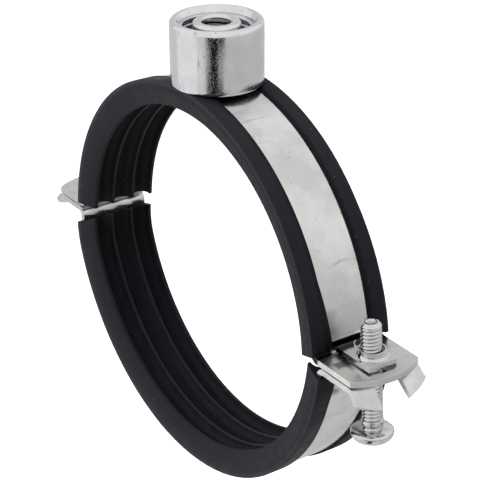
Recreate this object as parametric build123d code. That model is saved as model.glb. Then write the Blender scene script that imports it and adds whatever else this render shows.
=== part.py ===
"""Two-piece rubber lined pipe clamp, in millimetres.

The pipe runs along Y, the two clamping screws stand at +X and -X, and the rod socket is at +Z.
The origin is the centre of the upper half ring. Each node is one physical piece.
"""

import math
import os

from build123d import *

# Steel strip
STRIP_T = 1.75
STRIP_HALF = 11.5
UPPER_R = 63.0  # outer radius of the upper half
LOWER_SPREAD = 2.8
LOWER_R = UPPER_R + LOWER_SPREAD  # the lower half is sprung a little wider
LOWER_CX, LOWER_CZ = 0.1, 9.6
LOWER_END_R = 30.4  # tighter arc that ends the lower half on the left
LOWER_END_Z = -12.0  # where that arc starts
ROOT_R = 1.2  # inside radius of the bend from band to ear
FAR = 200.0  # past the whole clamp, for blanks and cutters

# Ears
RIGHT_EAR_TOP, LEFT_EAR_TOP = 6.5, 5.0
EAR_TOP = {1: RIGHT_EAR_TOP, -1: LEFT_EAR_TOP}  # top face of the upper ear
EAR_GAP = 0.35  # between the two ears of a side
RIGHT_EAR_REACH, LEFT_EAR_REACH = 15.2, 13.8  # from the band to where the ear's side edge ends
EAR_CORNER = {1: UPPER_R + RIGHT_EAR_REACH, -1: UPPER_R + LEFT_EAR_REACH}
EAR_BULGE = 3.8  # rise of the rounded ear end over its corners
SLOT_HALF = 4.05
SLOT_INSET = 2.6
SLOT_START = UPPER_R + SLOT_INSET
SLOT_END_REACH = 1.0  # slot end beyond the ear corner
SLOT_CORNER_R = 2.2
FORK_HALF = 4.3
PRONG_FOLD = 0.6  # fold line inside the ear corner
PRONG_LENGTH = 3.3  # beyond the bend, at the outer edge
PRONG_BEND_R = 0.6
PRONG_ANGLE = {(1, -1): 53.0, (1, 1): 37.0, (-1, -1): 46.0, (-1, 1): 46.0}

# Rubber lining, radially from the outer face of the strip (negative is inwards)
FIT = 0.05  # between the strip and the lining that wraps it
LIP_OUT = 0.6
LIP_COVER = 4.4
LIP_EDGE = STRIP_HALF - LIP_COVER
EDGE_WALL = 1.3
LINING_HALF = STRIP_HALF + EDGE_WALL
RIB_TIP = -7.1
RIB_INSET = 0.7
RIB_HALF = STRIP_HALF - RIB_INSET
MID_RIB_TIP = -6.6
MID_RIB = RIB_HALF / 3
SCALLOP = -3.4
RIB_FLAT = 0.45
RUBBER_BEVEL = 0.3
# heights at which each lining end is cut: at the lips and at the rib tips
RIGHT_UPPER_CUT, LEFT_UPPER_CUT = (6.4, 4.1), (4.9, 4.9)
RIGHT_LOWER_CUT, LEFT_LOWER_CUT = (1.2, 2.6), (-2.4, 0.6)
OVERRUN_ANGLE = 8.0  # a lining is turned this far past level, then cut
END_ANGLE = 40.0  # the lower lining's tighter arc on the left, before it is cut

# Rod socket
SOCKET_R = 13.4
SOCKET_CLEAR = 0.45
SOCKET_H = 18.6
SOCKET_BASE = UPPER_R + SOCKET_CLEAR
SOCKET_TOP = SOCKET_BASE + SOCKET_H
SOCKET_TOP_ROUND, SOCKET_BASE_ROUND = 1.4, 0.3
SOCKET_BORE_R = 10.5
MOUTH_CHAMFER = 0.6
SLEEVE_R = 6.9
SLEEVE_DROP = 0.65  # sleeve top below the socket rim
GROOVE_DEPTH = 14.0
ROD_R = 4.3  # root radius of the rod thread
ROD_CHAMFER = 0.7
FOOT_R = 6.6
FOOT_SINK = 0.5  # the foot runs this far into the socket's base
WELD_GAP = 0.02

# Plate nut and screw, in their own frame: the origin is the inner lower edge of the plate
PLATE_HALF, PLATE_T = 5.15, 1.5
PLATE_CLEAR = 0.4  # leaves the band room when the plate tips up about this edge
PLATE_INNER = UPPER_R + PLATE_CLEAR
PLATE_END = 0.2  # the plate ends this far inside the ear corner
PLATE_GAP = 0.3
PLATE_CORNER_R = 1.6
PLATE_EDGE = 0.35
COLLAR_R, COLLAR_H, COLLAR_FILLET = 3.75, 2.1, 1.0
TILT_ANGLE = 1.0
SCREW_OFF = 9.4  # screw axis from the inner end of the plate
SCREW_R = 2.9
NUT_PLAY = 0.45
NUT_R = SCREW_R + NUT_PLAY  # bore of the plate nut, the thread clearance included
SCREW_LEAN = 2.0  # the screw stands a little askew in the plate nut
SCREW_UP, SCREW_DOWN = 11.4, 20.6  # from the plate's lower face
DIMPLE_R, DIMPLE_RIM_R, DIMPLE_DEPTH = 1.1, 1.5, 0.6
POINT_CUT, POINT_RISE = 0.7, 0.9  # chamfer at the screw's end
HEAD_R, HEAD_FLAT_R, HEAD_H = 6.03, 5.3, 4.2
HEAD_RIM = 0.7
RECESS_W, RECESS_L, RECESS_DEPTH = 1.1, 6.0, 2.2


def turned(profile, cx, cz, start, sweep):
    """Revolve a radial profile about a line along Y, from +X towards +Z."""
    axis = Axis((cx, 0, cz), (0, -1, 0))
    return revolve((Pos(cx, 0, cz) * profile).rotate(axis, start), axis, sweep)


def root_centre(cx, cz, radius, side, level):
    """Centre of the root bend, outside the ring, at the given height."""
    return cx + side * math.sqrt((radius + ROOT_R) ** 2 - (level - cz) ** 2), level


def along(centre, towards, distance):
    """Point at a distance from a centre, towards another point."""
    dx, dz = towards[0] - centre[0], towards[1] - centre[1]
    scale = distance / math.hypot(dx, dz)
    return centre[0] + dx * scale, centre[1] + dz * scale


def arc(centre, radius, first, last):
    """Short arc between two points of a circle in the XZ plane."""
    middle = along(centre, ((first[0] + last[0]) / 2, (first[1] + last[1]) / 2), radius)
    return ThreePointArc(*[(x, 0, z) for x, z in (first, middle, last)])


def line(first, last):
    return Line((first[0], 0, first[1]), (last[0], 0, last[1]))


def ear_outline(side, corner, start, slot_half, open_end):
    """Solid, tall in Z, that an ear of the strip keeps: rounded end, slot or fork."""
    tip = corner + EAR_BULGE
    outline = Polyline((0, -STRIP_HALF), (corner, -STRIP_HALF)) + ThreePointArc(
        (corner, -STRIP_HALF), (tip, 0), (corner, STRIP_HALF)
    )
    outline += Polyline((corner, STRIP_HALF), (0, STRIP_HALF), (0, -STRIP_HALF))
    keep = make_face(outline)
    end = tip + SLOT_START if open_end else corner + SLOT_END_REACH
    slot = RectangleRounded(end - start, 2 * slot_half, SLOT_CORNER_R)
    keep -= Pos((start + end) / 2, 0) * slot
    solid = extrude(keep, FAR, both=True)
    return solid if side > 0 else mirror(solid, Plane.YZ)


def other_side(side):
    """Block over the whole half of the clamp away from the given side."""
    return Pos(-side * FAR / 2, 0, 0) * Box(FAR, 2 * STRIP_HALF, FAR)


def upper_band():
    """Upper half of the strip with its two slotted ears."""
    outer, inner = [], []
    for side in (1, -1):
        level = EAR_TOP[side] + ROOT_R
        centre = root_centre(0, 0, UPPER_R, side, level)
        reach = side * (EAR_CORNER[1] + 2 * EAR_BULGE)
        outer.append((centre, (reach, EAR_TOP[side])))
        inner.append((centre, (reach, EAR_TOP[side] - STRIP_T)))
    edges = []
    for ends, radius, bend in (
        (outer, UPPER_R, ROOT_R),
        (inner, UPPER_R - STRIP_T, ROOT_R + STRIP_T),
    ):
        (c1, e1), (c2, e2) = ends
        a1, a2 = along((0, 0), c1, radius), along((0, 0), c2, radius)
        b1, b2 = (c1[0], e1[1]), (c2[0], e2[1])
        edges += [line(e1, b1), arc(c1, bend, b1, a1)]
        edges += [arc((0, 0), radius, a1, (0, radius)), arc((0, 0), radius, (0, radius), a2)]
        edges += [arc(c2, bend, a2, b2), line(b2, e2)]
    edges += [line(outer[0][1], inner[0][1]), line(outer[1][1], inner[1][1])]
    strip = extrude(make_face(edges), STRIP_HALF, both=True)
    for side in (1, -1):
        ear = ear_outline(side, EAR_CORNER[side], SLOT_START, SLOT_HALF, False)
        strip &= ear + other_side(side)
    return strip


def lower_end_centre():
    """Centre of the tighter arc on the left, and the point where it starts."""
    drop = LOWER_END_Z - LOWER_CZ
    start = (LOWER_CX - math.sqrt(LOWER_R**2 - drop**2), LOWER_END_Z)
    return along(start, (LOWER_CX, LOWER_CZ), LOWER_END_R), start


def lower_band():
    """Lower half of the strip with its two forks, the prongs bent down."""
    main = (LOWER_CX, LOWER_CZ)
    end_centre, start = lower_end_centre()
    tops = {side: EAR_TOP[side] - STRIP_T - EAR_GAP for side in (1, -1)}
    edges = []
    ends = []
    for depth in (0, STRIP_T):
        radius, bend = LOWER_R - depth, ROOT_R + depth
        c1 = root_centre(*main, LOWER_R, 1, tops[1] - STRIP_T - ROOT_R)
        c2 = root_centre(*end_centre, LOWER_END_R, -1, tops[-1] - STRIP_T - ROOT_R)
        z1, z2 = tops[1] - STRIP_T + depth, tops[-1] - STRIP_T + depth
        e1 = (EAR_CORNER[1] - PRONG_FOLD, z1)
        e2 = (-EAR_CORNER[-1] + PRONG_FOLD, z2)
        a1, a2 = along(main, c1, radius), along(end_centre, c2, LOWER_END_R - depth)
        joint = along(main, start, radius)
        bottom = (LOWER_CX, LOWER_CZ - radius)
        edges += [line(e1, (c1[0], z1)), arc(c1, bend, (c1[0], z1), a1)]
        edges += [arc(main, radius, a1, bottom), arc(main, radius, bottom, joint)]
        edges += [arc(end_centre, LOWER_END_R - depth, joint, a2)]
        edges += [arc(c2, bend, a2, (c2[0], z2)), line((c2[0], z2), e2)]
        ends.append((e1, e2))
    edges += [line(ends[0][0], ends[1][0]), line(ends[0][1], ends[1][1])]
    strip = extrude(make_face(edges), STRIP_HALF, both=True)
    for side in (1, -1):
        corner = EAR_CORNER[side]
        fork = ear_outline(side, corner, SLOT_START, FORK_HALF, True)
        strip &= fork + other_side(side)
        for prong in (-1, 1):
            strip += bent_prong(side, prong, tops[side])
    return strip


def bent_prong(side, prong, top):
    """One prong of a fork: the flat end of the ear turned down about its fold."""
    fold = EAR_CORNER[side] - PRONG_FOLD
    angle = PRONG_ANGLE[side, prong]
    axis = Axis((fold, 0, top - STRIP_T - PRONG_BEND_R), (0, 1, 0))
    width = STRIP_HALF - FORK_HALF
    middle = prong * (STRIP_HALF + FORK_HALF) / 2
    section = Plane.YZ.offset(fold) * Pos(middle, top - STRIP_T / 2) * Rectangle(width, STRIP_T)
    bend = revolve(section, axis, angle)
    blank = ear_outline(1, fold + PRONG_LENGTH, SLOT_START, FORK_HALF, True)
    reach = 2 * (PRONG_LENGTH + EAR_BULGE)
    window = Pos(fold + reach / 2, middle, top - STRIP_T / 2) * Box(reach, width, STRIP_T)
    flat = (blank & window).rotate(axis, angle)
    solid = bend + flat
    return solid if side > 0 else mirror(solid, Plane.YZ)


def lining_profile(radius):
    """Section of the lining on a strip of the given outer radius, in the XY plane."""
    lip = FIT + LIP_OUT
    half = STRIP_HALF + FIT
    inside = -STRIP_T - FIT
    right = [(lip - RUBBER_BEVEL, LIP_EDGE), (lip, LIP_EDGE + RUBBER_BEVEL)]
    right += [(lip, LINING_HALF - RUBBER_BEVEL), (lip - RUBBER_BEVEL, LINING_HALF)]
    right += [(RIB_TIP + RUBBER_BEVEL, RIB_HALF), (RIB_TIP, RIB_HALF - RUBBER_BEVEL)]
    tip = RIB_HALF - RUBBER_BEVEL - 2 * RIB_FLAT
    middle = (tip + MID_RIB + RIB_FLAT) / 2
    points = [(FIT, LIP_EDGE)] + right + [(RIB_TIP, tip)]
    loop = Polyline(*[(radius + w, u) for w, u in points])
    loop += ThreePointArc(
        (radius + RIB_TIP, tip),
        (radius + SCALLOP, middle),
        (radius + MID_RIB_TIP, MID_RIB + RIB_FLAT),
    )
    loop += Line(
        (radius + MID_RIB_TIP, MID_RIB + RIB_FLAT), (radius + MID_RIB_TIP, MID_RIB - RIB_FLAT)
    )
    near, floor = MID_RIB - RIB_FLAT, (radius + SCALLOP, 0)
    loop += ThreePointArc((radius + MID_RIB_TIP, near), floor, (radius + MID_RIB_TIP, -near))
    loop += Line((radius + MID_RIB_TIP, -near), (radius + MID_RIB_TIP, -MID_RIB - RIB_FLAT))
    loop += ThreePointArc(
        (radius + MID_RIB_TIP, -MID_RIB - RIB_FLAT),
        (radius + SCALLOP, -middle),
        (radius + RIB_TIP, -tip),
    )
    loop += Polyline(*[(radius + w, -u) for w, u in reversed(points)])
    loop += Polyline(
        (radius + FIT, -LIP_EDGE),
        (radius + FIT, -half),
        (radius + inside, -half),
        (radius + inside, half),
        (radius + FIT, half),
        (radius + FIT, LIP_EDGE),
    )
    return make_face(loop)


def cut_end(side, radius, centre_x, heights, above):
    """Wedge that cuts a lining end between the lip height and the rib height."""
    outer, inner = centre_x + side * (radius + LIP_OUT), centre_x + side * (radius + RIB_TIP)
    slope = (heights[0] - heights[1]) / (outer - inner)
    far, near = side * FAR / 2, side * FAR / 10
    points = [(x, heights[1] + slope * (x - inner)) for x in (near, far)]
    limit = FAR / 2 if above else -FAR / 2
    points += [(far, limit), (near, limit)]
    outline = Polyline(*[(x, 0, z) for x, z in points], close=True)
    return extrude(make_face(outline), 2 * LINING_HALF, both=True)


def upper_lining():
    """Rubber profile of the upper half, wrapped over the strip and cut flat under the socket."""
    sweep = 180 + 2 * OVERRUN_ANGLE
    solid = turned(lining_profile(UPPER_R), 0, 0, -OVERRUN_ANGLE, sweep)
    for side, heights in ((1, RIGHT_UPPER_CUT), (-1, LEFT_UPPER_CUT)):
        solid -= cut_end(side, UPPER_R, 0, heights, False)
        top = EAR_TOP[side] + ROOT_R + FIT
        notch = Box(EAR_CORNER[side], 2 * (STRIP_HALF + FIT), top + EAR_CORNER[side])
        centre = UPPER_R - STRIP_T + EAR_CORNER[side] / 2
        solid -= Pos(side * centre, 0, (top - EAR_CORNER[side]) / 2) * notch
    seat = Box(2 * SOCKET_R, 2 * SOCKET_R, SOCKET_H, align=(Align.CENTER, Align.CENTER, Align.MIN))
    return solid - Pos(0, 0, SOCKET_BASE - FIT) * seat


def lower_lining():
    """Rubber profile of the lower half."""
    end_centre, start = lower_end_centre()
    joint = math.degrees(math.atan2(start[1] - LOWER_CZ, start[0] - LOWER_CX)) % 360
    sweep = 360 + OVERRUN_ANGLE - joint
    solid = turned(lining_profile(LOWER_R), LOWER_CX, LOWER_CZ, joint, sweep)
    solid += turned(lining_profile(LOWER_END_R), *end_centre, joint - END_ANGLE, END_ANGLE)
    solid -= cut_end(1, LOWER_R, LOWER_CX, RIGHT_LOWER_CUT, True)
    return solid - cut_end(-1, LOWER_END_R, end_centre[0], LEFT_LOWER_CUT, True)


def rod_socket():
    """Turned socket with an inner sleeve, welded by its foot to the top of the band."""
    bottom, top = (
        (Align.CENTER, Align.CENTER, Align.MIN),
        (Align.CENTER, Align.CENTER, Align.MAX),
    )
    body = Pos(0, 0, SOCKET_BASE) * Cylinder(SOCKET_R, SOCKET_H, align=bottom)
    body = fillet(body.edges().filter_by(GeomType.CIRCLE).sort_by(Axis.Z)[-1], SOCKET_TOP_ROUND)
    body = fillet(body.edges().filter_by(GeomType.CIRCLE).sort_by(Axis.Z)[0], SOCKET_BASE_ROUND)
    sleeve = Pos(0, 0, -SLEEVE_DROP) * Cylinder(SLEEVE_R, GROOVE_DEPTH, align=top)
    groove = Cylinder(SOCKET_BORE_R, GROOVE_DEPTH, align=top) - sleeve
    groove += Pos(0, 0, -SLEEVE_DROP) * Cone(ROD_R, ROD_R + ROD_CHAMFER, ROD_CHAMFER, align=top)
    mouth = SOCKET_BORE_R + MOUTH_CHAMFER
    groove += Cone(SOCKET_BORE_R, mouth, MOUTH_CHAMFER, align=top)
    body -= Pos(0, 0, SOCKET_TOP) * groove
    foot = Pos(0, 0, SOCKET_BASE + FOOT_SINK) * Cylinder(FOOT_R, SOCKET_H / 4, align=top)
    body += foot - Rot(90, 0, 0) * Cylinder(UPPER_R + WELD_GAP, 2 * SOCKET_R)
    return body - Pos(0, 0, SOCKET_TOP) * Cylinder(ROD_R, 2 * SOCKET_H, align=top)


def place(shape, side):
    """Put a closure piece on its side of the clamp, tilted about the plate's inner edge."""
    lift = EAR_TOP[side] + PLATE_GAP
    shape = Pos(PLATE_INNER, 0, lift) * Rot(0, -TILT_ANGLE, 0) * shape
    return shape if side > 0 else mirror(shape, Plane.YZ)


def plate_nut(side):
    """Plate nut with a drawn collar, lying on the upper ear."""
    length = EAR_CORNER[side] - PLATE_END - PLATE_INNER
    flat = Pos(length / 2, 0) * Rectangle(length, 2 * PLATE_HALF)
    flat = fillet(flat.vertices().sort_by(Axis.X)[-2:].sort_by(Axis.Y)[-1], PLATE_CORNER_R)
    plate = extrude(flat, PLATE_T)
    lower = plate.edges().filter_by(Axis.Y).sort_by(Axis.Z)[:2].sort_by(Axis.X)[0]
    plate = chamfer(lower, PLATE_EDGE)
    collar = Pos(SCREW_OFF, 0, PLATE_T / 2) * Cylinder(
        COLLAR_R, PLATE_T / 2 + COLLAR_H, align=(Align.CENTER, Align.CENTER, Align.MIN)
    )
    nut = plate + collar
    ring = nut.edges().filter_by(GeomType.CIRCLE).filter_by(
        lambda e: math.isclose(e.center().Z, PLATE_T) and math.isclose(e.radius, COLLAR_R)
    )
    nut = fillet(ring, COLLAR_FILLET)
    nut -= Pos(SCREW_OFF, 0, 0) * Cylinder(NUT_R, 4 * (PLATE_T + COLLAR_H))
    return place(nut, side)


def clamp_screw(side):
    """Pan head screw, head down, with its plain core at the thread's outer radius."""
    crown = -SCREW_DOWN - HEAD_H
    half = Polyline(
        (0, SCREW_UP - DIMPLE_DEPTH),
        (DIMPLE_R, SCREW_UP - DIMPLE_DEPTH),
        (DIMPLE_RIM_R, SCREW_UP),
        (SCREW_R - POINT_CUT, SCREW_UP),
        (SCREW_R, SCREW_UP - POINT_RISE),
        (SCREW_R, -SCREW_DOWN),
        (HEAD_FLAT_R, -SCREW_DOWN),
        (HEAD_R, -SCREW_DOWN - HEAD_RIM),
    )
    half += Spline(
        (HEAD_R, -SCREW_DOWN - HEAD_RIM),
        (HEAD_R * 0.86, crown + HEAD_H * 0.345),
        (HEAD_R * 0.5, crown + HEAD_H * 0.07),
        (0, crown),
        tangents=((0.0, -1.0), (-1.0, 0.0)),
    )
    half += Line((0, crown), (0, SCREW_UP - DIMPLE_DEPTH))
    face = Plane.XZ * make_face(half)
    screw = revolve(face, Axis.Z, 360)
    depth = 2 * RECESS_DEPTH
    cut = Box(RECESS_L, RECESS_W, depth) + Box(RECESS_W, RECESS_L, depth)
    screw -= Pos(0, 0, crown) * cut
    return place(Pos(SCREW_OFF, 0, 0) * Rot(0, -SCREW_LEAN, 0) * screw, side)


def main():
    os.makedirs("parts", exist_ok=True)
    nodes = {
        "upper_band": upper_band(),
        "lower_band": lower_band(),
        "upper_lining": upper_lining(),
        "lower_lining": lower_lining(),
        "rod_socket": rod_socket(),
        "right_nut": plate_nut(1),
        "left_nut": plate_nut(-1),
        "right_screw": clamp_screw(1),
        "left_screw": clamp_screw(-1),
    }
    for name, shape in nodes.items():
        export_step(shape, f"parts/{name}.step")


main()
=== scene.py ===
"""Looks of the rubber lined pipe clamp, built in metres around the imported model.

The pipe runs along Y, the clamping screws stand at +X and -X, and the rod socket is at +Z.
"""

import logging
import math
from collections.abc import Iterable
from dataclasses import dataclass, field
from enum import Enum

import bmesh
import bpy
from mathutils import Matrix, Vector


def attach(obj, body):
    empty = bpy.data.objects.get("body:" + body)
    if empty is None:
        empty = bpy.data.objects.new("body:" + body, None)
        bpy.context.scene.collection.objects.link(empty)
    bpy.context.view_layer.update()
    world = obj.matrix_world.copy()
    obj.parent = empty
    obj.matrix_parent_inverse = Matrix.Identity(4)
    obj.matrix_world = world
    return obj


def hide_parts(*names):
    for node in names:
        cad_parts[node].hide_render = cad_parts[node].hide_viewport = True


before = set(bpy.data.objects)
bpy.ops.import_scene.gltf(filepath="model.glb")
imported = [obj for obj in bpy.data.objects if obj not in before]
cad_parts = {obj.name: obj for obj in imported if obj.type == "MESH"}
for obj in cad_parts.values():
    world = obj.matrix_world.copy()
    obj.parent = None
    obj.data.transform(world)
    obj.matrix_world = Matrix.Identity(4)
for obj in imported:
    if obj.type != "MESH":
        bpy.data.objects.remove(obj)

LOG = logging.getLogger("pipe_clamp")
MM = 0.001
MERGE = 0.002 * MM
FULL_TURN = 2 * math.pi
ROOT_SHADE = "root_shade"  # vertex attribute of painted shade: 1 in a thread root, 0 on its crest
SHARP = 35.0  # edges over this angle, in degrees, are shaded sharp
FAR = 1000.0  # wider than the whole clamp, in millimetres
BUMP_DEPTH = 0.05 * MM
# strength of the painted shade in thread roots
ROOT_SHADE_STRENGTH = 0.35
SPECK_STRENGTH = 0.85
WHITE = (1.0, 1.0, 1.0, 1.0)
BLACK = (0.0, 0.0, 0.0, 1.0)

Pair = tuple[float, float]
Colour = tuple[float, float, float]
Point = tuple[float, float, float]


def mm(*lengths: float) -> tuple[float, ...]:
    """Millimetres as metres."""
    return tuple(length * MM for length in lengths)


class Slot(Enum):
    """Material slots of the record."""

    BAND = "band_steel"
    SOCKET = "socket_steel"
    FASTENER = "fastener_steel"
    RUBBER = "rubber"


class Body(Enum):
    """Bodies that pieces ride on."""

    UPPER = "upper_half"
    LOWER = "lower_half"
    NUT = "right_nut"
    RIGHT_SCREW = "right_screw"
    LEFT_SCREW = "left_screw"


# ---- node trees


class Tree:
    """A short way to add nodes to one node tree."""

    def __init__(self, tree: bpy.types.NodeTree) -> None:
        """Keep the tree that nodes are added to."""
        self.tree = tree

    def add(self, kind: str, inputs: dict | None = None, **settings: object) -> bpy.types.Node:
        """Add a node.

        Args:
            kind: node type without the ShaderNode prefix.
            inputs: values or sockets by input name or number.
            settings: attributes of the node.

        Returns:
            The new node.
        """
        node = self.tree.nodes.new("ShaderNode" + kind)
        for name, value in settings.items():
            setattr(node, name, value)
        for name, value in (inputs or {}).items():
            if isinstance(value, bpy.types.NodeSocket):
                self.tree.links.new(value, node.inputs[name])
            else:
                node.inputs[name].default_value = value
        return node

    def math(
        self, operation: str, first: object, second: object, clamp: bool = True
    ) -> bpy.types.NodeSocket:
        """Add a Math node.

        Args:
            operation: name of the operation.
            first: value or socket.
            second: value or socket.
            clamp: keep the result in 0..1.

        Returns:
            The output socket.
        """
        node = self.add("Math", {0: first, 1: second}, operation=operation, use_clamp=clamp)
        return node.outputs[0]

    def vector(self, operation: str, first: object, second: object) -> bpy.types.NodeSocket:
        """Add a Vector Math node and return its vector."""
        return self.add("VectorMath", {0: first, 1: second}, operation=operation).outputs[0]

    def noise(
        self, place: object, scale: object, detail: float = 2.0, rough: float = 0.5
    ) -> bpy.types.Node:
        """Add a Noise Texture node, its scale per metre, and return it."""
        inputs = {"Vector": place, "Scale": scale, "Detail": detail, "Roughness": rough}
        return self.add("TexNoise", inputs)

    def ramp(
        self, value: object, low: object, high: object, out: Pair = (0.0, 1.0)
    ) -> bpy.types.NodeSocket:
        """Add a smooth Map Range.

        Args:
            value: value or socket.
            low: where the first output value holds.
            high: where the second output value holds.
            out: the two output values.

        Returns:
            The output socket.
        """
        inputs = {"Value": value, "From Min": low, "From Max": high}
        inputs |= {"To Min": out[0], "To Max": out[1]}
        return self.add("MapRange", inputs, interpolation_type="SMOOTHSTEP").outputs[0]

    def mix(self, factor: object, first: object, second: object) -> bpy.types.NodeSocket:
        """Add a colour mix and return its output."""
        node = self.add("Mix", {0: factor, 6: first, 7: second}, data_type="RGBA")
        return node.outputs[2]

    def group(self, tree: bpy.types.NodeTree, inputs: dict) -> bpy.types.Node:
        """Place a node group with the given inputs and return it."""
        return self.add("Group", inputs, node_tree=tree)


def new_material(name: str) -> tuple[bpy.types.Material, Tree, bpy.types.Node]:
    """Start a material.

    Args:
        name: name of the material.

    Returns:
        The material, its tree and its shader.
    """
    material = bpy.data.materials.new(name)
    material.use_nodes = True
    return material, Tree(material.node_tree), material.node_tree.nodes["Principled BSDF"]


class Effect:
    """A shader node group that is filled once and shared by the finishes."""

    def __init__(self, name: str, inputs: dict[str, str], outputs: dict[str, str]) -> None:
        """Start the group.

        Args:
            name: name of the group.
            inputs: socket types by name.
            outputs: socket types by name.
        """
        self.tree = bpy.data.node_groups.new(name, "ShaderNodeTree")
        new_socket = self.tree.interface.new_socket
        for names, way in ((inputs, "INPUT"), (outputs, "OUTPUT")):
            for socket, kind in names.items():
                new_socket(socket, in_out=way, socket_type="NodeSocket" + kind)
        self.given = self.tree.nodes.new("NodeGroupInput").outputs
        self.result = self.tree.nodes.new("NodeGroupOutput").inputs
        self.nodes = Tree(self.tree)

    def put(self, name: str, value: bpy.types.NodeSocket) -> None:
        """Send a socket out of the group."""
        self.tree.links.new(value, self.result[name])


@dataclass(frozen=True)
class Grain:
    """Cloudy tone, hairline scratches, fine pits and a height for the bump.

    Scales are per metre, and levels are the noise values between which a mask rises.
    """

    cloud_detail: float = 6.0
    cloud_rough: float = 0.62
    bend_scale: float = 60.0
    bend: float = 0.004
    hair_scale: float = 1100.0
    patch_scale: float = 120.0
    fine_scale: float = 2600.0
    fine_share: float = 0.5
    tone_levels: Pair = (0.32, 0.68)
    hair_levels: Pair = (0.65, 0.72)
    patch_levels: Pair = (0.48, 0.60)
    pit_levels: Pair = (0.53, 0.60)

    def make(self) -> bpy.types.NodeTree:
        """Build the group.

        Returns:
            The node group.
        """
        inputs = {"Vector": "Vector", "Scale": "Float", "Stretch": "Vector"}
        outputs = {"Tone": "Float", "Scratch": "Float", "Height": "Float", "Pits": "Float"}
        effect = Effect("grain", inputs, outputs)
        t, place = effect.nodes, effect.given["Vector"]
        scale = effect.given["Scale"]
        cloud = t.noise(place, scale, self.cloud_detail, self.cloud_rough).outputs[0]
        stretched = t.vector("MULTIPLY", place, effect.given["Stretch"])
        bent = t.noise(place, self.bend_scale).outputs["Color"]
        drift = t.vector("MULTIPLY", bent, (self.bend,) * 3)
        hair = t.noise(t.vector("ADD", stretched, drift), self.hair_scale).outputs[0]
        patch = t.noise(place, self.patch_scale).outputs[0]
        fine = t.noise(place, self.fine_scale).outputs[0]
        height = t.add("Mix", {0: self.fine_share, 2: cloud, 3: fine}).outputs[0]
        hairs = t.ramp(hair, *self.hair_levels)
        effect.put("Tone", t.ramp(cloud, *self.tone_levels))
        effect.put("Scratch", t.math("MULTIPLY", hairs, t.ramp(patch, *self.patch_levels)))
        effect.put("Height", height)
        effect.put("Pits", t.ramp(fine, *self.pit_levels))
        return effect.tree


@dataclass(frozen=True)
class Specks:
    """Scattered small spots of uneven size and outline, thicker in some places."""

    wobble_scale: float = 2400.0
    wobble: float = 0.5 * MM
    sizes: Pair = (0.10, 0.26)  # of a cell
    core: float = 0.6  # of a spot, full dark
    patch_scale: float = 70.0
    patch_levels: Pair = (0.45, 0.60)

    def make(self) -> bpy.types.NodeTree:
        """Build the group.

        Returns:
            The node group.
        """
        inputs = {"Vector": "Vector", "Scale": "Float", "Amount": "Float"}
        effect = Effect("specks", inputs, {"Mask": "Float"})
        t, place = effect.nodes, effect.given["Vector"]
        uneven = t.noise(place, self.wobble_scale).outputs["Color"]
        wobble = t.vector("MULTIPLY", uneven, (self.wobble,) * 3)
        moved = t.vector("ADD", place, wobble)
        cell = t.add("TexVoronoi", {"Vector": moved, "Scale": effect.given["Scale"]})
        shade = t.add("SeparateColor", {0: cell.outputs["Color"]})
        chosen = t.math("LESS_THAN", shade.outputs[0], effect.given["Amount"])
        size = t.ramp(shade.outputs[1], 0.0, 1.0, self.sizes)
        core = t.math("MULTIPLY", size, self.core)
        near = t.ramp(cell.outputs["Distance"], core, size, (1.0, 0.0))
        patch = t.ramp(t.noise(place, self.patch_scale).outputs[0], *self.patch_levels)
        effect.put("Mask", t.math("MULTIPLY", t.math("MULTIPLY", chosen, near), patch))
        return effect.tree


@dataclass(frozen=True)
class Edges:
    """Normal of softened edges, and a mask of the edges themselves."""

    samples: int = 6
    turn_levels: Pair = (0.80, 0.99)  # cosine between the soft and the flat normal

    def make(self) -> bpy.types.NodeTree:
        """Build the group.

        Returns:
            The node group.
        """
        outputs = {"Normal": "Vector", "Mask": "Float"}
        effect = Effect("edges", {"Radius": "Float"}, outputs)
        t = effect.nodes
        radius = {"Radius": effect.given["Radius"]}
        soft = t.add("Bevel", radius, samples=self.samples).outputs[0]
        flat = t.add("NewGeometry").outputs["Normal"]
        turn = t.add("VectorMath", {0: soft, 1: flat}, operation="DOT_PRODUCT").outputs["Value"]
        effect.put("Normal", soft)
        effect.put("Mask", t.ramp(turn, *self.turn_levels, (1.0, 0.0)))
        return effect.tree


@dataclass(frozen=True)
class SoftBlock:
    """Soft edged box in the piece's own coordinates, with a ragged border."""

    ragged_scale: float = 700.0
    ragged_detail: float = 3.0
    ragged_middle: float = 0.5

    def make(self) -> bpy.types.NodeTree:
        """Build the group.

        Returns:
            The node group.
        """
        inputs = {"Vector": "Vector", "Centre": "Vector", "Half": "Vector", "Soft": "Float"}
        effect = Effect("zone", inputs, {"Mask": "Float"})
        t, place = effect.nodes, effect.given["Vector"]
        away = t.vector("SUBTRACT", place, effect.given["Centre"])
        away = t.vector("SUBTRACT", t.vector("ABSOLUTE", away, away), effect.given["Half"])
        parts = t.add("SeparateXYZ", {0: away})
        outside = t.math("MAXIMUM", parts.outputs[0], parts.outputs[1], clamp=False)
        outside = t.math("MAXIMUM", outside, parts.outputs[2], clamp=False)
        ragged = t.noise(place, self.ragged_scale, self.ragged_detail).outputs[0]
        ragged = t.math("SUBTRACT", ragged, self.ragged_middle, clamp=False)
        ragged = t.math("MULTIPLY", ragged, effect.given["Soft"], clamp=False)
        outside = t.math("ADD", outside, ragged, clamp=False)
        effect.put("Mask", t.ramp(outside, 0.0, effect.given["Soft"], (1.0, 0.0)))
        return effect.tree


class Effects:
    """Node groups that the finishes share."""

    def __init__(self) -> None:
        """Build every group once."""
        self.grain = Grain().make()
        self.specks = Specks().make()
        self.edges = Edges().make()
        self.zone = SoftBlock().make()


# ---- finishes


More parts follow.
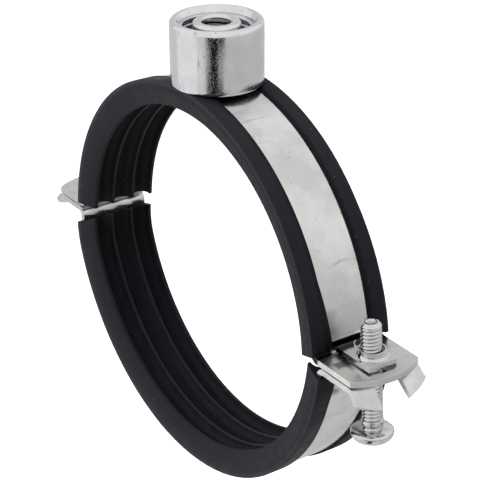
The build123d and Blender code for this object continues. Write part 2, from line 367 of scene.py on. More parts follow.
@dataclass(frozen=True)
class Zone:
    """A place on a piece laid over with a tone of its own, most often painted light or shade."""

    centre: Point
    half: Point
    soft: float
    colour: Colour
    strength: float = 1.0

    def apply(
        self, t: Tree, effects: Effects, place: bpy.types.NodeSocket, under: bpy.types.NodeSocket
    ) -> bpy.types.NodeSocket:
        """Lay the zone over a colour.

        Args:
            t: tree of the material.
            effects: the shared groups.
            place: coordinates.
            under: colour below.

        Returns:
            The mixed colour.
        """
        inputs = {"Vector": place, "Centre": self.centre, "Half": self.half, "Soft": self.soft}
        mask = t.group(effects.zone, inputs).outputs["Mask"]
        return t.mix(t.math("MULTIPLY", mask, self.strength), under, (*self.colour, 1.0))


@dataclass(frozen=True)
class Finish:
    """Base of every finish: tone, scratches, specks, zones, roughness and bump."""

    name: str
    colour: Colour
    shade: Colour
    dark: Colour
    rough: Pair
    grain_scale: float
    stretch: Point
    speck_scale: float
    speck_amount: float
    bump: float
    edge_radius: float
    edge_colour: Colour
    edge_strength: float
    scratch_strength: float = 0.5
    pitting: float = 0.0
    metallic: float = 1.0
    specular: float = 0.5
    zones: tuple[Zone, ...] = ()

    def make(self, effects: Effects) -> bpy.types.Material:
        """Build the material.

        Args:
            effects: the shared groups.

        Returns:
            The material.
        """
        material, t, shader = new_material(self.name)
        place = t.add("TexCoord").outputs["Object"]
        given = {"Vector": place, "Scale": self.grain_scale, "Stretch": self.stretch}
        grain = t.group(effects.grain, given).outputs
        given = {"Vector": place, "Scale": self.speck_scale, "Amount": self.speck_amount}
        specks = t.group(effects.specks, given).outputs
        edges = t.group(effects.edges, {"Radius": self.edge_radius}).outputs
        root_shade = t.add("Attribute", attribute_name=ROOT_SHADE).outputs["Fac"]
        colour = t.mix(grain["Tone"], (*self.shade, 1.0), (*self.colour, 1.0))
        for zone in self.zones:
            colour = zone.apply(t, effects, place, colour)
        for mask, strength, tone in (
            (grain["Scratch"], self.scratch_strength, self.dark),
            (edges["Mask"], self.edge_strength, self.edge_colour),
            # painted shade: thread roots and the screw's dimple darkened
            (root_shade, ROOT_SHADE_STRENGTH, self.dark),
            (specks["Mask"], SPECK_STRENGTH, self.dark),
        ):
            colour = t.mix(t.math("MULTIPLY", mask, strength), colour, (*tone, 1.0))
        rough = t.ramp(grain["Tone"], 0.0, 1.0, (self.rough[1], self.rough[0]))
        rough = t.math("ADD", rough, t.math("MULTIPLY", grain["Pits"], self.pitting))
        given = {"Strength": self.bump, "Distance": BUMP_DEPTH, "Height": grain["Height"]}
        normal = t.add("Bump", given | {"Normal": edges["Normal"]}).outputs[0]
        for name, socket in (("Base Color", colour), ("Roughness", rough), ("Normal", normal)):
            t.tree.links.new(socket, shader.inputs[name])
        shader.inputs["Metallic"].default_value = self.metallic
        shader.inputs["Specular IOR Level"].default_value = self.specular
        return material


BAND_ZINC = Finish(
    name="band_zinc",
    colour=(0.690, 0.695, 0.680),
    shade=(0.570, 0.575, 0.560),
    dark=(0.17, 0.17, 0.16),
    rough=(0.17, 0.30),
    grain_scale=90.0,
    stretch=(1.0, 0.06, 0.35),
    speck_scale=850.0,
    speck_amount=0.14,
    bump=0.20,
    edge_radius=0.25 * MM,
    edge_colour=(0.80, 0.80, 0.78),
    edge_strength=0.5,
    scratch_strength=0.3,
    zones=(
        # painted shade under the socket, round its weld
        Zone(mm(0.0, 0.0, 63.0), mm(9.9, 9.9, 4.0), 0.9 * MM, (0.02, 0.02, 0.02)),
        # painted shade: dark line in the gap along the inner edge of the right plate nut
        Zone(mm(63.0, 0.0, 8.4), mm(1.2, 7.0, 0.7), 0.2 * MM, (0.01, 0.01, 0.01)),
        # painted highlight: bright line on the bend above it
        Zone(mm(63.0, 0.0, 9.6), mm(1.2, 6.0, 0.2), 0.2 * MM, (1.0, 1.0, 0.98)),
        # painted shadow of the lining on the front corner of the right ear's root
        Zone(mm(62.6, -9.0, 6.8), mm(1.2, 2.6, 2.0), 0.8 * MM, (0.01, 0.01, 0.01)),
        # smudge on the right ear
        Zone(mm(69.6, -7.6, 6.8), mm(0.8, 1.6, 0.8), 1.2 * MM, (0.1, 0.1, 0.1), 0.8),
    ),
)
SOCKET_ZINC = Finish(
    name="socket_zinc",
    colour=(0.740, 0.742, 0.760),
    shade=(0.660, 0.662, 0.680),
    dark=(0.10, 0.10, 0.11),
    rough=(0.05, 0.09),
    grain_scale=160.0,
    stretch=(1.0, 1.0, 0.1),
    speck_scale=1500.0,
    speck_amount=0.08,
    bump=0.85,
    edge_radius=0.25 * MM,
    edge_colour=(0.85, 0.85, 0.86),
    edge_strength=0.5,
    pitting=0.19,
    zones=(
        # painted shade in the upper part of the rod hole
        Zone(mm(0.0, 0.0, 77.3), mm(4.2, 4.2, 3.2), 0.4 * MM, (0.16, 0.16, 0.14)),
    ),
)
FASTENER_ZINC = Finish(
    name="fastener_zinc",
    colour=(0.700, 0.700, 0.700),
    shade=(0.590, 0.590, 0.600),
    dark=(0.04, 0.04, 0.045),
    rough=(0.08, 0.17),
    grain_scale=260.0,
    stretch=(1.0, 0.2, 1.0),
    speck_scale=1000.0,
    speck_amount=0.10,
    bump=0.25,
    edge_radius=0.18 * MM,
    edge_colour=(0.80, 0.80, 0.80),
    edge_strength=0.5,
    zones=(
        # painted shade on the inner edges of the two plate nuts, in the corner by the band
        Zone(mm(63.5, 0.0, 8.3), mm(2.6, 9.0, 6.0), 1.4 * MM, (0.004, 0.004, 0.004)),
        Zone(mm(-63.5, 0.0, 6.8), mm(2.6, 9.0, 6.0), 1.4 * MM, (0.004, 0.004, 0.004)),
    ),
)
RUBBER = Finish(
    name="lining_rubber",
    colour=(0.0085, 0.0082, 0.0115),
    shade=(0.0120, 0.0116, 0.0158),
    dark=(0.09, 0.09, 0.10),
    rough=(0.50, 0.62),
    grain_scale=220.0,
    stretch=(1.0, 1.0, 1.0),
    speck_scale=900.0,
    speck_amount=0.12,
    bump=0.35,
    edge_radius=0.30 * MM,
    edge_colour=(0.030, 0.030, 0.036),
    edge_strength=0.2,
    scratch_strength=0.0,
    metallic=0.0,
    specular=0.12,
    zones=(
        # painted light: front and back faces lighter
        Zone(mm(0.0, -12.8, 0.0), mm(FAR, 0.10, FAR), 0.30 * MM, (0.023, 0.022, 0.030)),
        Zone(mm(0.0, 12.8, 0.0), mm(FAR, 0.10, FAR), 0.30 * MM, (0.023, 0.022, 0.030)),
        # painted shade in the valleys between the ribs
        Zone(mm(0.0, 0.0, 0.0), mm(FAR, 1.3, FAR), 1.6 * MM, (0.003, 0.003, 0.0045)),
        Zone(mm(0.0, -6.8, 0.0), mm(FAR, 0.8, FAR), 1.3 * MM, (0.003, 0.003, 0.0045)),
        Zone(mm(0.0, 6.8, 0.0), mm(FAR, 0.8, FAR), 1.3 * MM, (0.003, 0.003, 0.0045)),
    ),
)


class Finishes:
    """Every finish of the clamp, by record slot."""

    def __init__(self) -> None:
        """Build the materials."""
        effects = Effects()
        self.by_slot = {
            Slot.BAND: BAND_ZINC.make(effects),
            Slot.SOCKET: SOCKET_ZINC.make(effects),
            Slot.FASTENER: FASTENER_ZINC.make(effects),
            Slot.RUBBER: RUBBER.make(effects),
        }

    def dress(self, piece: bpy.types.Object, slot: Slot) -> None:
        """Give a piece or a CAD node the finish of a slot.

        Args:
            piece: object to dress.
            slot: material slot.
        """
        material = self.by_slot[slot]
        if not piece.material_slots:
            piece.data.materials.append(material)
        for holder in piece.material_slots:
            holder.material = material


# ---- mesh helpers


def new_object(mesh: bmesh.types.BMesh, name: str) -> bpy.types.Object:
    """Put a bmesh into the scene.

    Args:
        mesh: the shape. It is freed.
        name: name of the object and of its mesh.

    Returns:
        The new object.
    """
    data = bpy.data.meshes.new(name)
    mesh.to_mesh(data)
    mesh.free()
    thing = bpy.data.objects.new(name, data)
    bpy.context.scene.collection.objects.link(thing)
    return thing


def finish_piece(
    mesh: bmesh.types.BMesh,
    name: str,
    body: Body,
    slot: Slot,
    finishes: Finishes,
    sharp: float = SHARP,
) -> bpy.types.Object:
    """Turn a bmesh into a dressed piece.

    Args:
        mesh: the finished closed shape, in metres, in the row's frame. It is freed.
        name: name of the piece.
        body: body that it rides on.
        slot: material slot.
        finishes: the materials.
        sharp: edges over this angle, in degrees, are shaded sharp.

    Returns:
        The new object.
    """
    bmesh.ops.recalc_face_normals(mesh, faces=mesh.faces)
    open_edges = sum(1 for edge in mesh.edges if len(edge.link_faces) != 2)
    for face in mesh.faces:
        face.smooth = True
    piece = new_object(mesh, name)
    piece.data.set_sharp_from_angle(angle=math.radians(sharp))
    finishes.dress(piece, slot)
    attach(piece, body.value)
    LOG.info("%s: %d faces, %d open edges", name, len(piece.data.polygons), open_edges)
    return piece


def line_of(mesh: bmesh.types.BMesh, points: Iterable[Pair], close: bool) -> list:
    """Add a line of edges in the XZ plane.

    Args:
        mesh: mesh to add to.
        points: radius and height of each vertex.
        close: join the last vertex to the first.

    Returns:
        The vertices and edges.
    """
    verts = [mesh.verts.new((x, 0.0, z)) for x, z in points]
    ends = verts[1:] + verts[:1] if close else verts[1:]
    edges = [mesh.edges.new(pair) for pair in zip(verts, ends)]
    return verts + edges


def turn_line(
    mesh: bmesh.types.BMesh,
    line: list,
    steps: int,
    angle: float = FULL_TURN,
    climb: float = 0.0,
    merge: bool = False,
) -> None:
    """Sweep a line about Z.

    Args:
        mesh: mesh that holds the line.
        line: its vertices and edges.
        steps: number of steps.
        angle: whole angle, in radians.
        climb: rise of one step.
        merge: weld the last step to the first.
    """
    bmesh.ops.spin(
        mesh,
        geom=line,
        cent=(0, 0, 0),
        axis=(0, 0, 1),
        dvec=(0, 0, climb),
        angle=angle,
        steps=steps,
        use_merge=merge,
    )


def round_edges(mesh: bmesh.types.BMesh, edges: list, offset: float, segments: int) -> None:
    """Round the given edges off.

    Args:
        mesh: mesh that holds the edges.
        edges: edges to round.
        offset: how far the rounding reaches from each edge.
        segments: number of faces across it.
    """
    shape = {"offset": offset, "segments": segments, "profile": 0.5}
    bmesh.ops.bevel(mesh, geom=edges, affect="EDGES", material=-1, **shape)


def ring_edges(mesh: bmesh.types.BMesh, radius: float, height: float) -> list:
    """Find one ring of edges on a turned mesh.

    Args:
        mesh: the turned mesh.
        radius: radius of the ring.
        height: height of the ring.

    Returns:
        The edges.
    """
    return [
        edge
        for edge in mesh.edges
        if all(
            math.isclose(math.hypot(v.co.x, v.co.y), radius, abs_tol=MERGE)
            and math.isclose(v.co.z, height, abs_tol=MERGE)
            for v in edge.verts
        )
    ]


def cut(mesh: bmesh.types.BMesh, point: Vector, normal: Vector) -> None:
    """Cut a mesh with a plane and drop what lies on the normal's side.

    Args:
        mesh: mesh to cut.
        point: a point of the plane.
        normal: direction of the side that goes.
    """
    bmesh.ops.bisect_plane(
        mesh,
        geom=mesh.verts[:] + mesh.edges[:] + mesh.faces[:],
        plane_co=point,
        plane_no=normal,
        clear_outer=True,
    )


def close_holes(mesh: bmesh.types.BMesh) -> None:
    """Close every hole of a mesh with one face."""
    bmesh.ops.holes_fill(mesh, edges=mesh.edges, sides=0)


def copy_of(node: str) -> bmesh.types.BMesh:
    """Copy a CAD node's mesh with its doubles merged.

    Args:
        node: name of the node.

    Returns:
        The copy.
    """
    mesh = bmesh.new()
    mesh.from_mesh(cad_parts[node].data)
    bmesh.ops.remove_doubles(mesh, verts=mesh.verts, dist=MERGE)
    return mesh


def join(mesh: bmesh.types.BMesh, other: bmesh.types.BMesh) -> None:
    """Add one bmesh to another.

    Args:
        mesh: mesh that grows.
        other: mesh that is added. It is freed.
    """
    holder = bpy.data.meshes.new("holder")
    other.to_mesh(holder)
    other.free()
    mesh.from_mesh(holder)
    bpy.data.meshes.remove(holder)


@dataclass
class Thread:
    """Helical thread surface about Z, made by turning a toothed line as it climbs.

    The tooth's corners are given as shares of the pitch.
    """

    crest: float
    root: float
    pitch: float
    steps: int = 48
    root_end: float = 0.12
    crest_start: float = 0.46
    crest_end: float = 0.66
    spare_turns: int = 2

    def sheet(self, low: float, high: float) -> bmesh.types.BMesh:
        """Turn the thread and cut it level, open at both ends.

        Args:
            low: height of the lower cut.
            high: height of the upper cut.

        Returns:
            The threaded surface, with its roots marked.
        """
        mesh = bmesh.new()
        count = math.ceil((high - low) / self.pitch) + self.spare_turns + 1
        start = low - self.spare_turns * self.pitch
        tooth = (
            (0.0, self.root),
            (self.root_end, self.root),
            (self.crest_start, self.crest),
            (self.crest_end, self.crest),
        )
        points = [
            (radius, start + (turn + share) * self.pitch)
            for turn in range(count)
            for share, radius in tooth
        ]
        points.append((self.root, start + count * self.pitch))
        line = line_of(mesh, points, False)
        turn_line(mesh, line, self.steps, climb=self.pitch / self.steps)
        bmesh.ops.remove_doubles(mesh, verts=mesh.verts, dist=MERGE)
        cut(mesh, Vector((0, 0, low)), Vector((0, 0, -1)))
        cut(mesh, Vector((0, 0, high)), Vector((0, 0, 1)))
        layer = mesh.verts.layers.float.new(ROOT_SHADE)
        for vert in mesh.verts:
            radius = math.hypot(vert.co.x, vert.co.y)
            vert[layer] = min(1.0, max(0.0, (self.crest - radius) / (self.crest - self.root)))
        return mesh

    def bar(self, low: float, high: float) -> bmesh.types.BMesh:
        """Make a closed threaded bar.

        Args:
            low: height of the lower end.
            high: height of the upper end.

        Returns:
            The bar.
        """
        mesh = self.sheet(low, high)
        close_holes(mesh)
        return mesh

    def ring(self, low: float, high: float, wall: float) -> bmesh.types.BMesh:
        """Make a closed ring, threaded inside, with a plain outer wall.

        Args:
            low: height of the lower end.
            high: height of the upper end.
            wall: radius of the outer wall.

        Returns:
            The ring.
        """
        mesh = self.sheet(low, high)
        rims = [edge for edge in mesh.edges if edge.is_boundary]
        grown = bmesh.ops.extrude_edge_only(mesh, edges=rims)["geom"]
        for vert in (item for item in grown if isinstance(item, bmesh.types.BMVert)):
            scale = wall / math.hypot(vert.co.x, vert.co.y)
            vert.co.x *= scale
            vert.co.y *= scale
        outer = [edge for edge in mesh.edges if edge.is_boundary]
        bmesh.ops.bridge_loops(mesh, edges=outer)
        return mesh


# ---- sub-assemblies


@dataclass
class ClampScrew:
    """M6 pan head screw: the head of the CAD node under a threaded shank with a neck ring."""

    side: int
    body: Body
    lift: float
    plate_inner: float = 63.4 * MM
    tilt: float = math.radians(1.0)
    lean: float = math.radians(2.0)
    sideways: float = math.radians(0.9)
    offset: float = 9.4 * MM
    up: float = 11.4 * MM
    down: float = 20.6 * MM
    crest: float = 2.9 * MM
    root: float = 2.45 * MM
    pitch: float = 1.08 * MM
    point_cut: float = 0.7 * MM
    point_rise: float = 0.9 * MM
    point_steps: int = 48
    dimple_radius: float = 1.35 * MM
    dimple_floor: float = 0.35 * MM
    dimple_depth: float = 1.2 * MM
    dimple_shade: float = 2.5  # painted shade in the dimple: over 1, so darker than a thread root
    neck_radius: float = 3.12 * MM
    neck_low: float = 1.3 * MM
    neck_high: float = 2.9 * MM
    neck_round: float = 0.3 * MM
    neck_steps: int = 64
    seat: float = 0.05 * MM
    pivot: float = -10.0 * MM

    def place(self) -> Matrix:
        """Find where the screw stands.

        Returns:
            Matrix from its own frame, its plate's lower face at 0, to the row's frame.
        """
        turn = Matrix.Rotation(0.0 if self.side > 0 else math.pi, 4, "Z")
        tilt = Matrix.Rotation(-self.tilt, 4, "Y")
        lean = Matrix.Rotation(-self.lean, 4, "Y")
        corner = Matrix.Translation((self.plate_inner, 0, self.lift))
        return turn @ corner @ tilt @ Matrix.Translation((self.offset, 0, 0)) @ lean

    def askew(self) -> Matrix:
        """Small sideways lean about the middle of the shank, clear of the plate's bore."""
        middle = Matrix.Translation((0, 0, self.pivot))
        return middle @ Matrix.Rotation(self.sideways, 4, "X") @ middle.inverted()

    def shank(self) -> bmesh.types.BMesh:
        """Threaded shank that ends inside its point."""
        reach = self.up - self.point_rise
        return Thread(self.crest, self.root, self.pitch).bar(-self.down - 4 * self.seat, reach)

    def point(self) -> bmesh.types.BMesh:
        """Turn the point of the shank, chamfered and dimpled.

        Returns:
            The point, with its dimple marked for painted shade.
        """
        rim = self.crest - self.point_cut
        section = (
            (0.0, self.up - 2 * self.point_rise),
            (self.root, self.up - 2 * self.point_rise),
            (self.crest - self.seat, self.up - self.point_rise),
            (rim + self.seat, self.up - 3 * self.seat),
            (rim - 3 * self.seat, self.up),
            (self.dimple_radius, self.up - self.seat),
            (self.dimple_floor, self.up - self.dimple_depth),
            (0.0, self.up - self.dimple_depth),
        )
        mesh = bmesh.new()
        turn_line(mesh, line_of(mesh, section, False), self.point_steps, merge=True)
        bmesh.ops.remove_doubles(mesh, verts=mesh.verts, dist=MERGE)
        layer = mesh.verts.layers.float.new(ROOT_SHADE)
        for vert in mesh.verts:
            if math.hypot(vert.co.x, vert.co.y) < self.dimple_floor + self.seat:
                vert[layer] = self.dimple_shade
        return mesh

    def neck(self) -> bmesh.types.BMesh:
        """Make the plain ring between the thread and the head.

        Returns:
            The ring.
        """
        mesh = bmesh.new()
        bmesh.ops.create_cone(
            mesh,
            cap_ends=True,
            segments=self.neck_steps,
            radius1=self.neck_radius,
            radius2=self.neck_radius,
            depth=self.neck_high - self.neck_low,
        )
        rims = [e for e in mesh.edges if len(e.link_faces) == 2 and e.calc_face_angle() > 1.0]
        round_edges(mesh, rims, self.neck_round, 3)
        middle = -self.down + (self.neck_high + self.neck_low) / 2
        bmesh.ops.translate(mesh, verts=mesh.verts, vec=(0, 0, middle))
        return mesh

    def head(self) -> bmesh.types.BMesh:
        """Cut the head of the CAD node off under the shank and close it.

        Returns:
            The head, where it stands.
        """
        mesh = copy_of(self.body.value)
        place = self.place()
        cut(
            mesh,
            place @ Vector((0, 0, -self.down - self.seat)),
            place.to_3x3() @ Vector((0, 0, 1)),
        )
        close_holes(mesh)
        return mesh

    def build(self, finishes: Finishes) -> None:
        """Join head, neck, shank and point and put them in place of the CAD node.

        Args:
            finishes: the materials.
        """
        mesh = self.shank()
        join(mesh, self.neck())
        join(mesh, self.point())
        bmesh.ops.transform(mesh, matrix=self.place() @ self.askew(), verts=mesh.verts)
        join(mesh, self.head())
        piece = finish_piece(
            mesh, self.body.value + "_threaded", self.body, Slot.FASTENER, finishes
        )
        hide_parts(self.body.value)


@dataclass
class RodSocket:
    """Turned socket with an inner sleeve: its body, the two threads and the weld foot."""

    base: float = 63.45 * MM
    top: float = 82.05 * MM
    wall: float = 13.4 * MM
    bore: float = 10.5 * MM
    mouth: float = 11.55 * MM
    mouth_depth: float = 1.9 * MM
    sleeve: float = 6.9 * MM
    sleeve_top: float = 81.4 * MM
    hole: float = 4.3 * MM
    hole_mouth: float = 4.75 * MM
    groove_floor: float = 68.05 * MM
    foot: float = 6.6 * MM
    foot_low: float = 62.6 * MM
    barrel: float = 0.075 * MM
    barrel_share: float = 0.6
    barrel_top: float = 2.6 * MM
    barrel_base: float = 1.4 * MM
    top_round: float = 1.4 * MM
    base_round: float = 0.3 * MM
    small_round: float = 0.35 * MM
    sleeve_round: float = 1.2 * MM
    steps: int = 128
    sharp: float = 50.0
    rod_thread: Thread = field(default_factory=lambda: Thread(*mm(4.02, 4.36, 1.5), 64))
    groove_thread: Thread = field(default_factory=lambda: Thread(*mm(9.75, 10.56, 1.814), 96))
    rod_thread_top: float = 80.7 * MM
    rod_thread_low: float = 64.5 * MM
    groove_thread_top: float = 80.0 * MM
    groove_thread_low: float = 68.6 * MM
    buried: float = 0.5 * MM

    def outline(self) -> list[Pair]:
        """Lay out the half section of the socket.

        Returns:
            A closed loop of radius and height.
        """
        slim = self.wall - self.barrel
        swell = slim + self.barrel * self.barrel_share
        barrel_high = self.top - self.top_round
        barrel_low = self.base + self.base_round
        return [
            (self.hole, self.foot_low),
            (self.hole, self.sleeve_top - (self.hole_mouth - self.hole)),
            (self.hole_mouth, self.sleeve_top),
            (self.sleeve, self.sleeve_top),
            (self.sleeve, self.groove_floor),
            (self.bore, self.groove_floor),
            (self.bore, self.top - self.mouth_depth),
            (self.mouth, self.top),
            (slim, self.top),
            (swell, barrel_high - self.barrel_top / 3),
            (self.wall, barrel_high - self.barrel_top),
            (self.wall, barrel_low + self.barrel_base),
            (swell, barrel_low + self.barrel_base / 3),
            (slim, self.base),
            (self.foot, self.base),
            (self.foot, self.foot_low),
        ]

    def turned_body(self) -> bmesh.types.BMesh:
        """Turn the section and round its corners.

        Returns:
            The body.
        """
        mesh = bmesh.new()
        turn_line(mesh, line_of(mesh, self.outline(), True), self.steps, merge=True)
        bmesh.ops.remove_doubles(mesh, verts=mesh.verts, dist=MERGE)
        slim = self.wall - self.barrel
        for radius, height, offset, segments in (
            (slim, self.top, self.top_round, 8),
            (slim, self.base, self.base_round, 3),
            (self.mouth, self.top, self.small_round, 3),
            (self.bore, self.top - self.mouth_depth, self.small_round, 3),
            (self.sleeve, self.sleeve_top, self.sleeve_round, 6),
            (self.hole_mouth, self.sleeve_top, self.small_round, 3),
        ):
            round_edges(mesh, ring_edges(mesh, radius, height), offset, segments)
        return mesh

    def build(self, finishes: Finishes) -> None:
        """Make the body and both threads.

        Args:
            finishes: the materials.
        """
        body = finish_piece(
            self.turned_body(), "rod_socket_body", Body.UPPER, Slot.SOCKET, finishes, self.sharp
        )
        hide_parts("rod_socket")
        for name, thread, low, high in (
            ("rod_thread", self.rod_thread, self.rod_thread_low, self.rod_thread_top),
            ("groove_thread", self.groove_thread, self.groove_thread_low, self.groove_thread_top),
        ):
            mesh = thread.ring(low, high, thread.root + self.buried)
            finish_piece(mesh, name, Body.UPPER, Slot.SOCKET, finishes)


@dataclass
class Splay:
    """Place near a lining end where the rubber has spread.

    It lies between two places along Y, and grows from the first angle about the ring's
    centre, in degrees, to the second.
    """

    centre: Pair
    angles: Pair
    reach: Pair
    shift: float
    lift: float = 0.0

    def weight(self, point: Vector) -> float:
        """Find how far a point is moved.

        Args:
            point: the point.

        Returns:
            A share from 0 to 1.
        """
        if not self.reach[0] <= point.y <= self.reach[1]:
            return 0.0
        angle = math.degrees(math.atan2(point.z - self.centre[1], point.x - self.centre[0]))
        share = (angle - self.angles[0]) / (self.angles[1] - self.angles[0])
        return min(1.0, max(0.0, share))

    def apply(self, mesh: bmesh.types.BMesh) -> None:
        """Move every vertex of the place sideways and outwards.

        Args:
            mesh: the lining.
        """
        for vert in mesh.verts:
            weight = self.weight(vert.co)
            if weight > 0:
                out = Vector((vert.co.x - self.centre[0], 0, vert.co.z - self.centre[1]))
                vert.co += out.normalized() * (self.lift * weight)
                vert.co.y += self.shift * weight


@dataclass
class Lining:
    """Rubber profile of one half, shaped from its CAD node with its right end spread.

    The trim is a point of a slanted cut and the direction of the side that goes.
    """

    node: str
    body: Body
    splays: tuple[Splay, ...]
    trim: tuple[Point, Point] | None = None
    sharp: float = 30.0

    def build(self, finishes: Finishes) -> None:
        """Make the rubber and put it in place of the CAD node.

        Args:
            finishes: the materials.
        """
        mesh = copy_of(self.node)
        if self.trim:
            cut(mesh, Vector(self.trim[0]), Vector(self.trim[1]))
            close_holes(mesh)
        for splay in self.splays:
            splay.apply(mesh)
        name = self.node + "_rubber"
        piece = finish_piece(mesh, name, self.body, Slot.RUBBER, finishes, self.sharp)
        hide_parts(self.node)


LININGS = (
    Lining(
        "upper_lining",
        Body.UPPER,
        (
            Splay(mm(0.0, 0.0), (24.0, 6.0), mm(-8.0, -7.0), shift=1.75 * MM),
            Splay(mm(0.0, 0.0), (40.0, 7.0), mm(11.0, 14.0), shift=0.6 * MM, lift=0.3 * MM),
        ),
        trim=(mm(55.9, 0.0, 4.0), (0.38, 0.0, -0.925)),
    ),
    Lining(
        "lower_lining",
        Body.LOWER,
        (Splay(mm(0.1, 9.6), (-16.0, -8.0), mm(-8.0, -7.0), shift=0.9 * MM),),
    ),
)


@dataclass
class RimBurr:
    """Curled sliver on the rim of the right plate nut's collar.

    Angles are in degrees, and the rise is that of its whole length.
    """

    centre: Point = mm(70.25, -3.25, 10.5)
    radius: float = 0.75 * MM
    start: float = 20.0
    sweep: float = -215.0
    rise: float = 1.4 * MM
    thickness: float = 0.22 * MM
    height: float = 0.5 * MM
    steps: int = 12

    def build(self, finishes: Finishes) -> None:
        """Make the sliver.

        Args:
            finishes: the materials.
        """
        mesh = bmesh.new()
        inner, outer = self.radius - self.thickness / 2, self.radius + self.thickness / 2
        section = ((inner, 0.0), (outer, 0.0), (outer, self.height), (inner, self.height))
        turn_line(
            mesh,
            line_of(mesh, section, True),
            self.steps,
            angle=math.radians(self.sweep),
            climb=self.rise / self.steps,
        )
        close_holes(mesh)
        turn = Matrix.Rotation(math.radians(self.start), 4, "Z")
        bmesh.ops.transform(mesh, matrix=Matrix.Translation(self.centre) @ turn, verts=mesh.verts)
        finish_piece(mesh, "rim_burr", Body.NUT, Slot.FASTENER, finishes)


# ---- studio

ONE_TONE = (-1.0, 1.0)  # fade heights of a card whose tone doesn't change
STAND = 0.30  # distance of the stand's cards, in metres
STAND_TONE = 0.01


@dataclass
class Softbox:
    """One area lamp aimed at the clamp, left out of reflections."""

    name: str
    place: Point
    size: Pair
    power: float

    def build(self, aim: Vector) -> None:
        """Make the lamp.

        Args:
            aim: point that it faces.
        """
        light = bpy.data.lights.new(self.name, "AREA")
        light.shape = "RECTANGLE"
        light.size, light.size_y = self.size
        light.energy = self.power
        lamp = bpy.data.objects.new(self.name, light)
        lamp.location = self.place
        lamp.rotation_euler = (aim - Vector(self.place)).to_track_quat("-Z", "Y").to_euler()
        lamp.visible_glossy = False
        bpy.context.scene.collection.objects.link(lamp)


def upright(along: float, heights: Pair, foot: Pair, head: Pair) -> tuple[Point, ...]:
    """Corners of a card that stands square to the stand's direction.

    Args:
        along: distance from the clamp.
        heights: heights of its lower and upper edge.
        foot: left and right end of the lower edge.
        head: left and right end of the upper edge.

    Returns:
        The four corners.
    """
    lower = ((along, foot[0], heights[0]), (along, foot[1], heights[0]))
    upper = ((along, head[1], heights[1]), (along, head[0], heights[1]))
    return lower + upper


def level(height: float, along: Pair, across: Pair) -> tuple[Point, ...]:
    """Corners of a card that lies level.

    Args:
        height: height of the card.
        along: its near and far edge.
        across: its left and right edge.

    Returns:
        The four corners.
    """
    left = ((along[0], across[0], height), (along[1], across[0], height))
    right = ((along[1], across[1], height), (along[0], across[1], height))
    return left + right


@dataclass
class Card:
    """A card that only reflections see, set out from the clamp towards the camera stand.

    Its corners are along the stand's direction, across it to the right, and up, in metres.
    """

    name: str
    corners: tuple[Point, ...]
    tone: float = STAND_TONE
    bearing: float = math.radians(-33.5)

    def build(self) -> None:
        """Make the card."""
        mesh = bmesh.new()
        turn = Matrix.Rotation(self.bearing, 3, "Z")
        mesh.faces.new([mesh.verts.new(turn @ Vector(corner)) for corner in self.corners])
        show_card(mesh, self.name, (self.tone, self.tone), ONE_TONE)


@dataclass
class Screen:
    """Curved grey screen round the clamp, its tone changing with height.

    It runs from the first to the last angle, in degrees from +X, and its tones are those at
    the two fade heights.
    """

    name: str
    radius: float
    heights: Pair
    angles: Pair
    tones: Pair
    fade: Pair = ONE_TONE
    steps: int = 24

    def build(self) -> None:
        """Make the screen."""
        mesh = bmesh.new()
        edge = line_of(mesh, [(self.radius, height) for height in self.heights], False)
        turn = Matrix.Rotation(math.radians(self.angles[0]), 4, "Z")
        bmesh.ops.transform(mesh, matrix=turn, verts=mesh.verts)
        sweep = math.radians(self.angles[1] - self.angles[0])
        turn_line(mesh, edge, self.steps, angle=sweep)
        show_card(mesh, self.name, self.tones, self.fade)


def show_card(mesh: bmesh.types.BMesh, name: str, tones: Pair, fade: Pair) -> None:
    """Turn a mesh into a studio card that only reflections see.

    Args:
        mesh: the card. It is freed.
        name: name of the card.
        tones: tones at the two heights, where 1 is white.
        fade: heights between which the tone changes.
    """
    card = new_object(mesh, name)
    material, t, shader = new_material(name)
    shader.inputs["Base Color"].default_value = BLACK
    shader.inputs["Specular IOR Level"].default_value = 0.0
    shader.inputs["Emission Color"].default_value = WHITE
    up = t.add("SeparateXYZ", {0: t.add("TexCoord").outputs["Object"]}).outputs[2]
    tone = t.ramp(up, *fade, tones)
    t.tree.links.new(tone, shader.inputs["Emission Strength"])
    card.data.materials.append(material)
    card.visible_camera = False
    card.visible_diffuse = False
    card.visible_shadow = False
    card.visible_transmission = False


CARDS = (
    Card("stand_head", upright(STAND, (-0.0228, 0.030), (-0.139, 0.100), (-0.139, 0.100))),
    Card("stand_neck", upright(STAND, (-0.0262, -0.0228), (-0.088, 0.014), (-0.120, 0.060))),
    Card("stand_column", upright(STAND, (-0.0415, -0.0262), (-0.080, -0.004), (-0.088, 0.014))),
    Card("stand_base", upright(STAND, (-0.0460, -0.0415), (-0.120, 0.060), (-0.080, -0.004))),
    Card("stand_collar", upright(STAND, (-0.085, -0.046), (-0.140, 0.070), (-0.140, 0.070))),
    Card("stand_leg", upright(STAND, (-0.200, -0.085), (-0.060, -0.010), (-0.060, -0.010))),
    Card("stand_shade", upright(0.31, (-0.200, 0.050), (-0.180, -0.060), (-0.180, -0.060)), 0.58),
    Card("stand_foot", level(-0.199, (0.13, STAND), (-0.05, 0.03)), 0.0),
    Card("front_floor", level(-0.1995, (-0.05, 0.42), (-0.30, 0.30)), 0.80),
    Card("floor_shade", level(-0.199, (-0.20, 0.36), (0.02, 0.50)), 0.70, bearing=0.0),
)
SCREENS = (
    Screen("right_screen", 0.33, (-0.20, 0.16), (-36.0, 125.0), (0.60, 0.90), (-0.05, 0.13)),
    Screen("back_screen", 0.50, (-0.05, 0.60), (105.0, 200.0), (0.72, 0.80), (0.30, 0.60)),
    Screen("shade_screen", 0.36, (-0.20, 0.05), (-82.0, -60.0), (0.78, 0.78)),
    Screen("left_screen", 0.36, (-0.20, 0.05), (-143.0, -82.0), (0.95, 0.95)),
    Screen("far_screen", 0.36, (-0.20, 0.05), (-235.0, -143.0), (0.72, 0.72)),
)
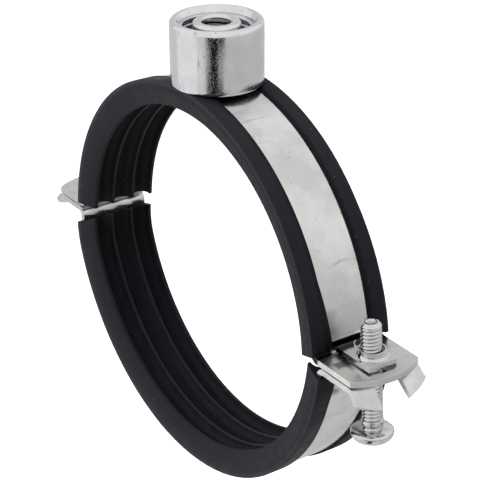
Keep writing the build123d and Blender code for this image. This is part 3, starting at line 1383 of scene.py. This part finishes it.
LAMPS = (
    Softbox("key", (-0.25, -0.85, 0.55), (0.6, 0.6), 9.0),
    Softbox("top", (0.1, 0.0, 0.9), (0.7, 0.7), 6.0),
)


@dataclass
class Studio:
    """Camera, floor, world, lamps and the cards that the metal reflects."""

    camera_place: Point = (0.36882885, -0.24393934, 0.22987091)
    camera_turn: Point = (63.8820, 0.3070, 55.5757)
    lens: float = 124.581
    sensor: float = 36.0
    nearest: float = 0.01
    floor_level: float = -0.20
    floor_size: float = 6.0
    floor_colour: Colour = (0.90, 0.90, 0.90)
    floor_rough: float = 0.9
    floor_specular: float = 0.1
    floor_glow: float = 0.45
    world_light: float = 0.45

    def camera(self) -> None:
        """Camera with the sensor across the square frame."""
        data = bpy.data.cameras.new("camera")
        data.lens, data.sensor_width, data.sensor_fit = self.lens, self.sensor, "HORIZONTAL"
        data.clip_start = self.nearest
        camera = bpy.data.objects.new("camera", data)
        camera.location = self.camera_place
        camera.rotation_euler = [math.radians(angle) for angle in self.camera_turn]
        bpy.context.scene.collection.objects.link(camera)
        bpy.context.scene.camera = camera

    def floor(self) -> None:
        """Plain white floor that also glows a little for the camera."""
        mesh = bmesh.new()
        bmesh.ops.create_grid(mesh, x_segments=1, y_segments=1, size=self.floor_size / 2)
        bmesh.ops.translate(mesh, vec=(0, 0, self.floor_level), verts=mesh.verts)
        floor = new_object(mesh, "floor")
        material, t, shader = new_material("floor_paper")
        shader.inputs["Base Color"].default_value = (*self.floor_colour, 1.0)
        shader.inputs["Roughness"].default_value = self.floor_rough
        shader.inputs["Specular IOR Level"].default_value = self.floor_specular
        shader.inputs["Emission Color"].default_value = WHITE
        path = t.add("LightPath").outputs
        glow = t.math("MULTIPLY", path["Is Camera Ray"], self.floor_glow)
        t.tree.links.new(glow, shader.inputs["Emission Strength"])
        floor.data.materials.append(material)

    def world(self) -> None:
        """White for the camera and for reflections, softer as light."""
        world = bpy.data.worlds.new("studio")
        bpy.context.scene.world = world
        world.use_nodes = True
        t = Tree(world.node_tree)
        path = t.add("LightPath").outputs
        seen = t.math("ADD", path["Is Camera Ray"], path["Is Glossy Ray"])
        seen = t.math("ADD", seen, path["Is Transmission Ray"])
        strength = t.add("MapRange", {"Value": seen, "To Min": self.world_light, "To Max": 1.0})
        back = world.node_tree.nodes["Background"]
        back.inputs["Color"].default_value = WHITE
        world.node_tree.links.new(strength.outputs[0], back.inputs["Strength"])

    def build(self) -> None:
        """Make the whole studio."""
        bpy.context.scene.view_settings.view_transform = "Standard"
        self.camera()
        self.floor()
        self.world()
        for lamp in LAMPS:
            lamp.build(Vector((0.0, 0.0, 0.0)))
        for card in (*SCREENS, *CARDS):
            card.build()


# ---- the clamp

NODE_SLOTS = {
    "upper_band": Slot.BAND,
    "lower_band": Slot.BAND,
    "upper_lining": Slot.RUBBER,
    "lower_lining": Slot.RUBBER,
    "rod_socket": Slot.SOCKET,
    "right_nut": Slot.FASTENER,
    "left_nut": Slot.FASTENER,
    "right_screw": Slot.FASTENER,
    "left_screw": Slot.FASTENER,
}


def corners(box: tuple[Vector, Vector]) -> list[list[float]]:
    """Bounds as plain lists of numbers."""
    return [list(corner) for corner in box]


def main() -> None:
    """Build the studio, the finishes and every piece."""
    logging.basicConfig(level=logging.INFO, format="%(message)s")
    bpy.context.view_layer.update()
    Studio().build()
    finishes = Finishes()
    for node, slot in NODE_SLOTS.items():
        finishes.dress(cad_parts[node], slot)
    ClampScrew(side=1, body=Body.RIGHT_SCREW, lift=6.8 * MM).build(finishes)
    ClampScrew(side=-1, body=Body.LEFT_SCREW, lift=5.3 * MM).build(finishes)
    RodSocket().build(finishes)
    for lining in LININGS:
        lining.build(finishes)
    RimBurr().build(finishes)


if __name__ == "__main__":
    main()
